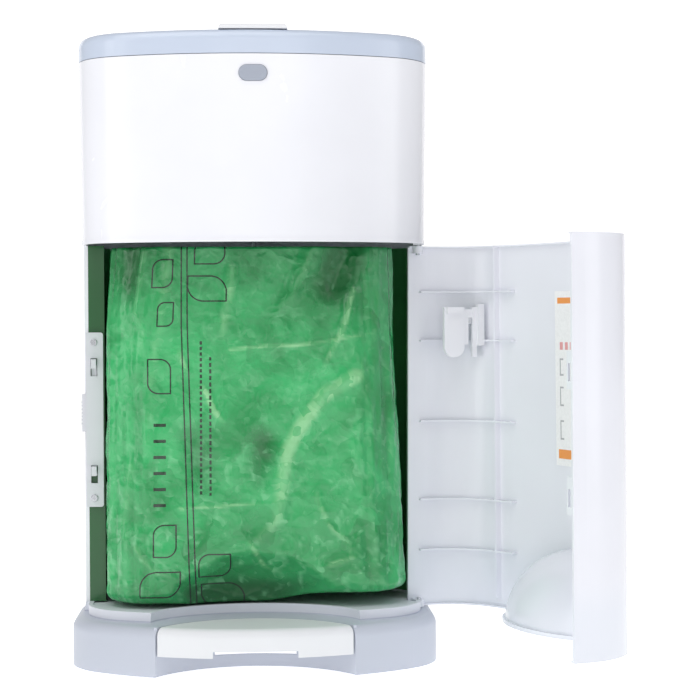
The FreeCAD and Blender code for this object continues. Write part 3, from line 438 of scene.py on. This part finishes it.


# %% [markdown]
# ## Its folds
#
# Film keeps three kinds of fold: long soft ones where it hangs unevenly from the
# chute, sharp straight ones where it was packed, and a fine crumple that is stronger
# near the floor, where the film has weight on it. The long and the sharp ones have
# places of their own, so they are listed, in millimetres across and up. The crumple
# is noise with hard ridges, which reads as film and not as cloth.

# %% Bag folds
# how far out, how wide, how strong a painted highlight along it, then the points it runs through
FOLDS = [
    (3.0, 10, 0.35, [(-78, 396), (-84, 350), (-93, 300), (-98, 230), (-104, 150)]),
    (-6.0, 15, 0.0, [(-118, 396), (-125, 335)]),
    (3.5, 6, 0.30, [(-103, 388), (-110, 332), (-104, 316), (-109, 274), (-104, 228)]),
    (2.4, 7, 0.55, [(-20, 372), (-31, 298)]),
    (2.8, 4, 1.00, [(-49, 262), (-38, 240), (-28, 224)]),
    (2.2, 3, 0.80, [(-70, 295), (-62, 272)]),
    (-10.0, 17, 0.0, [(90, 396), (66, 338)]),
    (3.5, 9, 0.25, [(57, 396), (36, 348), (14, 323)]),
    (1.4, 2.5, 0.75, [(-24, 296), (65, 304), (119, 313)]),
    (2.4, 4, 0.85, [(93, 352), (82, 313), (61, 273)]),
    (3.6, 9, 1.00, [(94, 271), (65, 254), (39, 218), (31, 201), (25, 161), (21, 137), (-9, 105)]),
    (2.2, 5, 0.25, [(98, 287), (109, 236), (112, 180)]),
    (1.4, 2.5, 0.70, [(-71, 148), (-20, 151), (18, 153)]),
    (2.0, 4, 0.75, [(70, 94), (97, 102)]),
    (3.4, 8, 0.30, [(-115, 190), (-123, 138), (-118, 90)]),
    (2.4, 5, 0.45, [(57, 160), (70, 132), (88, 112), (96, 78)]),
    (2.0, 4, 0.55, [(-5, 116), (8, 92), (22, 84)]),
    (-5.0, 14, 0.0, [(8, 210), (2, 160)]),
    (-4.0, 16, 0.0, [(-60, 215), (-40, 160)]),
    (2.4, 5, 0.35, [(-112, 112), (-92, 88), (-70, 84)]),
    (-6.0, 12, 0.0, [(-60, 66), (20, 66), (60, 76)]),
]


def from_run(across, high, points):
    """How far a point is from a run of straight pieces, in millimetres, and how far along it."""
    nearest, along = 1e9, 0
    for number, ((x, z), (to_x, to_z)) in enumerate(zip(points, points[1:])):
        run_x, run_z = to_x - x, to_z - z
        share = ((across - x) * run_x + (high - z) * run_z) / (run_x * run_x + run_z * run_z)
        share = min(1, max(0, share))
        away = math.hypot(across - x - share * run_x, high - z - share * run_z)
        if away < nearest:
            nearest, along = away, (number + share) / (len(points) - 1)
    return nearest, along


def side_at(knots, down):
    """How far out the bag's side stands at a share of the way down."""
    for (high_share, wide), (low_share, wider) in zip(knots, knots[1:]):
        if down <= low_share:
            return wide + (wider - wide) * (down - high_share) / (low_share - high_share)
    return knots[-1][1]


def folded(x, z, facing):
    """How far out the film stands at a point, and three masks of painted light: a highlight along creases,
    shade in folds and hollows, and a highlight on crumple ridges.
    """
    ahead = min(1, max(0, -facing[1] * 1.6 - 0.3))
    across, high = 1000 * x, 1000 * z
    sway = 2.2 * noise.noise(Vector((across / 22, high / 22, 3)))
    out, crease_glint, deep = 0.0, 0.0, 0.0
    if ahead:
        for rise, wide, glint, points in FOLDS:
            away, along = from_run(across + sway, high + sway, points)
            away, fade = away / wide, (1 - 0.9 * along ** 3) * ahead
            if away < 2.2:
                out += rise * max(0, 1 - 0.75 * away) ** 1.3 * fade
                # painted highlight: a pale streak along each listed crease
                crease_glint = max(crease_glint, glint * max(0, 1.15 - away) * fade)
                # painted shade: the film is darkened inside each sunken fold
                if rise < 0:
                    deep = max(deep, -rise / 10 * math.exp(-away * away) * fade)
    spot = Vector((x + 0.4 * facing[0], 0.4 * facing[1], z))
    slow = noise.noise(Vector((spot.x * 13, spot.y * 13, spot.z * 7)))
    crumple = noise.turbulence(Vector((spot.x * 22, spot.y * 22, spot.z * 13)), 3, True)
    fine = noise.turbulence(Vector((spot.x * 70 + 5, spot.y * 70, spot.z * 52)), 3, True)
    low_down = 1 - min(1, max(0, (high - 90) / 260))
    out += 3.6 * slow + (1.7 + 2.4 * low_down) * (crumple - 0.5) + (0.7 + 1.1 * low_down) * (fine - 0.5)
    # painted highlight on the crumple's ridges, stronger near the floor
    ridge_glint = max(0, 1 - 2.6 * fine) * (0.35 + 0.65 * low_down)
    # painted shade as well where the slow swell of the film sinks in
    return out / 1000, crease_glint, deep + max(0, -slow) * 0.5, ridge_glint


def bag_bottom(x):
    """How high the lower weld stands: it lifts off the floor towards the right."""
    lift = min(1, max(0, (x - 0.005) / 0.06))
    return BAG_FLOOR + 0.009 * lift * lift * (3 - 2 * lift)


# %% [markdown]
# ## Room for the foot recess
#
# When the door is shut, the hollow for the foot stands into the bin, and the real
# bag gives way to it. Here the lower front of the bag already has that hollow, a
# little larger than the door's, so the door can shut without cutting the film.

# %% Bag loft
RECESS_BACK, RECESS_HIGH = -0.104, 0.0465
RECESS = (0.1030, 0.0765, 0.0780)


def behind_recess(x, y, z):
    """How far back the film lies at a point, once the door's foot recess has its room."""
    inside = 1 - (x / RECESS[0]) ** 2 - ((z - RECESS_HIGH) / RECESS[2]) ** 2
    return max(y, RECESS_BACK + RECESS[1] * math.sqrt(inside)) if inside > 0 else y


def bag_points():
    """Every point of the bag from the rim down and in to the centre, with its folds."""
    points, marks = [], []
    for row in range(BAG_ROWS + BAG_RINGS + 1):
        down = min(1, row / BAG_ROWS)
        inward = max(0, row - BAG_ROWS) / (BAG_RINGS + 1)
        left, right = side_at(LEFT_SIDE, down), side_at(RIGHT_SIDE, down)
        for column in range(BAG_COLUMNS):
            (x, y), facing = outline(column / BAG_COLUMNS, BAG_HALF, BAG_DEEP, BAG_CORNER)
            flat_x = x
            x *= (right if x > 0 else left) / BAG_HALF
            bottom = bag_bottom(x)
            z = BAG_TOP + (bottom - BAG_TOP) * down
            out, crease_glint, deep, ridge_glint = folded(x, z, facing)
            curl = max(0, 1 - (z - bottom) / BAG_CURL)
            tuck = BAG_CURL * (1 - math.sqrt(max(0, 1 - curl * curl)))
            out = max(-0.016, min(0.0045, out * (1 - 0.7 * curl) - tuck))
            spread = 1 - inward
            x, y = x + facing[0] * out, y + facing[1] * out
            y = behind_recess(x, y, z)
            points.append((bag_centre.x + x * spread, bag_centre.y + y * spread, z + 0.002 * inward))
            marks.append((flat_x, z, -facing[1], crease_glint, deep, ridge_glint))
    return points, marks


bag_made, bag_marks = bag_points()
bag_faces = []
for row in range(BAG_ROWS + BAG_RINGS):
    for column in range(BAG_COLUMNS):
        after = (column + 1) % BAG_COLUMNS
        here, below = row * BAG_COLUMNS, (row + 1) * BAG_COLUMNS
        bag_faces.append((here + column, below + column, below + after, here + after))
last = (BAG_ROWS + BAG_RINGS) * BAG_COLUMNS
bag_made.append((bag_centre.x, bag_centre.y, BAG_FLOOR + 0.003))
bag_marks.append((0, BAG_FLOOR, 0, 0, 0, 0))
for column in range(BAG_COLUMNS):
    bag_faces.append((last + column, len(bag_made) - 1, last + (column + 1) % BAG_COLUMNS))

bag_mesh = bpy.data.meshes.new("film_bag")
bag_mesh.from_pydata(bag_made, [], bag_faces)
flat_place = bag_mesh.attributes.new("flat_place", "FLOAT_VECTOR", "POINT")
flat_place.data.foreach_set("vector", [value for mark in bag_marks for value in mark[:3]])
# the painted light and shade of the folds, carried to the film's finish
fold_light_and_shade = bag_mesh.attributes.new("fold_light_and_shade", "FLOAT_VECTOR", "POINT")
fold_light_and_shade.data.foreach_set("vector", [value for mark in bag_marks for value in mark[3:]])
film_bag = bpy.data.objects.new("film_bag", bag_mesh)
scene.collection.objects.link(film_bag)
deselect()
film_bag.select_set(True)
bpy.context.view_layer.objects.active = film_bag
bpy.ops.object.mode_set(mode="EDIT")
bpy.ops.mesh.select_all(action="SELECT")
bpy.ops.mesh.normals_make_consistent(inside=False)
bpy.ops.object.mode_set(mode="OBJECT")
wall = film_bag.modifiers.new("film", "SOLIDIFY")
wall.thickness = FILM
wall.offset = -1
bpy.ops.object.modifier_apply(modifier=wall.name)
bpy.ops.object.shade_smooth()
print("bag", len(film_bag.data.polygons), "faces")

# %% [markdown]
# ## The film's colour and print
#
# The film's green has painted light and shade on it: it is painted darker in its
# folds, in hollows and near the top, and paler along its creases, on the ridges of its
# crumple and on some flat facets, as painted highlights. The marks that the loft left
# on each point drive the folds, creases and ridges. The print is a repeating set of plain
# leaf outlines either side of a double rule, drawn with the shape's own flat
# coordinates, so it bends with every fold. Words are left out: plain bars stand where
# they would be.

# %% Film
def leaf(across, high, centre, half, soft, lean, pen=0.00068):
    """The outline of a leaf, an oblong with two opposite corners rounded; lean picks which two."""
    x, y = across - centre[0], high - centre[1]
    soft_here = soft * ((lean * x * y) > 0)
    past_x = across.sum("ABSOLUTE", x) - half[0] + soft_here
    past_y = across.sum("ABSOLUTE", y) - half[1] + soft_here
    out_x, out_y = across.sum("MAXIMUM", past_x, 0), across.sum("MAXIMUM", past_y, 0)
    away = across.sum("SQRT", out_x * out_x + out_y * out_y)
    away = away + across.sum("MINIMUM", across.sum("MAXIMUM", past_x, past_y), 0) - soft_here
    return across.sum("ABSOLUTE", away) < pen


def band(value, low, high):
    """1 between the two values, and 0 elsewhere."""
    return (value > low) * (value < high)


def bars(along, low, high, pitch, share):
    """A row of equal plain bars between two values."""
    return band(along, low, high) * (along.sum("FRACT", along * (1 / pitch)) < share)


def cloud_vector(place, scale, reach):
    """A random offset of up to reach metres each way, to bend a pattern."""
    drift = place.node("ShaderNodeTexNoise", {}, {"Vector": place, "Scale": scale}, "Color")
    drift = place.node("ShaderNodeVectorMath", {"operation": "SUBTRACT"},
                       {0: drift, 1: (0.5, 0.5, 0.5)}, "Vector")
    return place.node("ShaderNodeVectorMath", {"operation": "SCALE"},
                      {0: drift, "Scale": 2 * reach}, "Vector")


def cells(place, scale):
    """Flat patches with straight edges, as crushed film has, each with its own value."""
    return place.node("ShaderNodeTexVoronoi", {}, {"Vector": place, "Scale": scale}, "Color")


def dents(place, scale):
    """Small cones that meet in sharp edges."""
    return place.node("ShaderNodeTexVoronoi", {}, {"Vector": place, "Scale": scale}, "Distance")


# each leaf's centre, half sizes and corner radius in metres, and which way it leans
LEAVES = [
    ((-0.084, 0.368), (0.0092, 0.0130), 0.0090, -1),
    ((-0.043, 0.354), (0.0177, 0.0117), 0.0150, 1),
    ((-0.041, 0.388), (0.0140, 0.0110), 0.0100, -1),
    ((-0.080, 0.330), (0.0070, 0.0110), 0.0065, -1),
    ((-0.084, 0.077), (0.0177, 0.0120), 0.0150, -1),
    ((-0.029, 0.064), (0.0190, 0.0115), 0.0150, 1),
    ((-0.036, 0.094), (0.0140, 0.0110), 0.0100, -1),
    ((-0.080, 0.118), (0.0100, 0.0150), 0.0098, -1),
    ((-0.085, 0.272), (0.0100, 0.0160), 0.0098, 1),
]
# each row of bars: its sides, its lower and upper end, its pitch, and the bar's share of it
BAR_ROWS = [
    ((-0.0490, -0.0468), 0.160, 0.305, 0.0052, 0.62),
    ((-0.0405, -0.0385), 0.160, 0.290, 0.0061, 0.66),
    ((-0.0900, -0.0790), 0.150, 0.232, 0.0150, 0.20),
]
# where the double rule stands 50 mm up, and how far it leans for each metre higher
RULE_AT, RULE_LEAN = -0.055, 0.030


def film():
    made, shader, place = new_finish("green_film")
    flat = place.node("ShaderNodeAttribute", {"attribute_name": "flat_place"}, {}, "Vector")
    marks = place.node("ShaderNodeAttribute", {"attribute_name": "fold_light_and_shade"}, {}, "Vector")
    across, high, ahead = (flat.node("ShaderNodeSeparateXYZ", {}, {"Vector": flat}, axis) for axis in "XYZ")
    crease_glint, deep, ridge_glint = (marks.node("ShaderNodeSeparateXYZ", {}, {"Vector": marks}, axis) for axis in "XYZ")
    warped = place.node("ShaderNodeVectorMath", {"operation": "ADD"},
                        {0: place, 1: cloud_vector(place, 34, 0.014)}, "Vector")
    lit_facets = cells(warped, 36)
    shreds = cells(warped, 105)
    body = cloud(place, 13, 3, 0.8).ramp(0.32, 0.68).tint(
        colour(0.055, 0.535, 0.265), colour(0.190, 0.690, 0.395))
    # painted light: some flat facets are painted lighter, as if catching the lamps
    body = (0.40 * lit_facets.ramp(0.50, 0.80)).tint(body, colour(0.270, 0.735, 0.445))
    # painted shade: darker green inside the folds and hollows
    body = (deep.ramp(0.02, 0.75) * 0.9).tint(body, colour(0.0, 0.330, 0.130))
    # painted shade: the bag is darker towards its top, under the chute
    body = (0.50 * high.ramp(0.29, 0.40)).tint(body, colour(0.0, 0.420, 0.180))
    # painted highlight: paler green on the crumple's ridges
    body = (ridge_glint * shreds.ramp(0.50, 0.62) * 0.50).tint(body, colour(0.560, 0.860, 0.650))
    # painted highlight: pale streaks along the creases
    body = (crease_glint.ramp(0.08, 0.85) * (0.35 + 0.65 * shreds.ramp(0.36, 0.60)) * 0.72).tint(
        body, colour(0.600, 0.840, 0.610))
    from_rule = across - RULE_AT + RULE_LEAN * (high - 0.05)
    ink = band(from_rule, -0.0029, -0.0016) + band(from_rule, 0.0024, 0.0037)
    for centre, half, soft, way in LEAVES:
        ink = ink + leaf(across, high, centre, half, soft, way)
    for sides, low, top, pitch, share in BAR_ROWS:
        ink = ink + band(across, *sides) * bars(high, low, top, pitch, share)
    ink = ink.sum("MINIMUM", ink, 1) * (ahead > 0.4)
    body = (ink * 0.93).tint(body, colour(0.02, 0.10, 0.05))
    plug(body, shader, "Base Color")
    plug(0.17 + 0.14 * cloud(place, 60, 3) + 0.1 * deep, shader, "Roughness")
    crumpled = 0.0024 * dents(warped, 34) + 0.0009 * dents(warped, 100)
    plug(relief(crumpled, 1.0), shader, "Normal")
    shader.inputs["IOR"].default_value = 1.55
    shader.inputs["Coat Weight"].default_value = 0.35
    shader.inputs["Coat Roughness"].default_value = 0.12
    return made


film_bag.data.materials.append(film())
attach(film_bag, "stand")
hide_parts("liner_bag")

# %% [markdown]
# ## The card inside the door
#
# A printed card is stuck to the inside of the door. It is a flat plate, so its print
# is a flat drawing: an orange bar at each end, and plain boxes and rules where the
# steps and words would be. The door stands open here, so the pattern is turned back
# to the shut door by the hinge's own angle before anything is drawn.

# %% Card
DOOR_TURN = 107.6
HINGE = (0.158, -0.006, 0)


def card():
    made, shader, place = new_finish("printed_card")
    shut = place.node("ShaderNodeMapping", {"vector_type": "TEXTURE"},
                      {"Vector": place, "Location": HINGE,
                       "Rotation": (0, 0, math.radians(DOOR_TURN))}, "Vector")
    across, high = (shut.node("ShaderNodeSeparateXYZ", {}, {"Vector": shut}, axis) for axis in "XZ")
    fibres = cloud(place, 420, 4)
    sheet = fibres.ramp(0.3, 0.7).tint(colour(0.925, 0.925, 0.93), colour(0.955, 0.955, 0.96))
    inside = band(across, -0.254, -0.119)
    orange = inside * (band(high, 0.3385, 0.3440) + band(high, 0.1955, 0.2040))
    red = inside * band(high, 0.2960, 0.3030) * bars(across, -0.250, -0.122, 0.0085, 0.6)
    grey = bars(across, -0.250, -0.122, 0.032, 0.55) * (
        band(high, 0.272, 0.288) + band(high, 0.244, 0.262) + band(high, 0.213, 0.231))
    hollow = bars(across, -0.2484, -0.1236, 0.032, 0.45) * (
        band(high, 0.2736, 0.2864) + band(high, 0.2456, 0.2604) + band(high, 0.2146, 0.2294))
    lines = across.sum("MAXIMUM", grey - hollow, 0)
    shade = orange.tint(sheet, colour(0.925, 0.600, 0.310))
    shade = (red * 0.7).tint(shade, colour(0.85, 0.38, 0.38))
    shade = (lines * 0.75).tint(shade, colour(0.55, 0.55, 0.58))
    plug(shade, shader, "Base Color")
    plug(0.42 + 0.12 * fibres, shader, "Roughness")
    plug(relief(fibres, 0.00002), shader, "Normal")
    return made


wear(card(), "door_label")

# %% [markdown]
# ## The studio floor's own finish
#
# White paper, matt, with a little light of its own so that it stays white in the
# picture while the lamps are set for the plastic.

# %% Floor finish
def paper():
    made, shader, place = new_finish("studio_paper")
    plug(cloud(place, 3, 2).tint(colour(0.97, 0.97, 0.97), colour(0.98, 0.98, 0.98)), shader, "Base Color")
    shader.inputs["Roughness"].default_value = 0.9
    shader.inputs["Specular IOR Level"].default_value = 0.0
    shader.inputs["Emission Color"].default_value = (1, 1, 1, 1)
    shader.inputs["Emission Strength"].default_value = 0.62
    return made


floor.data.materials.append(paper())
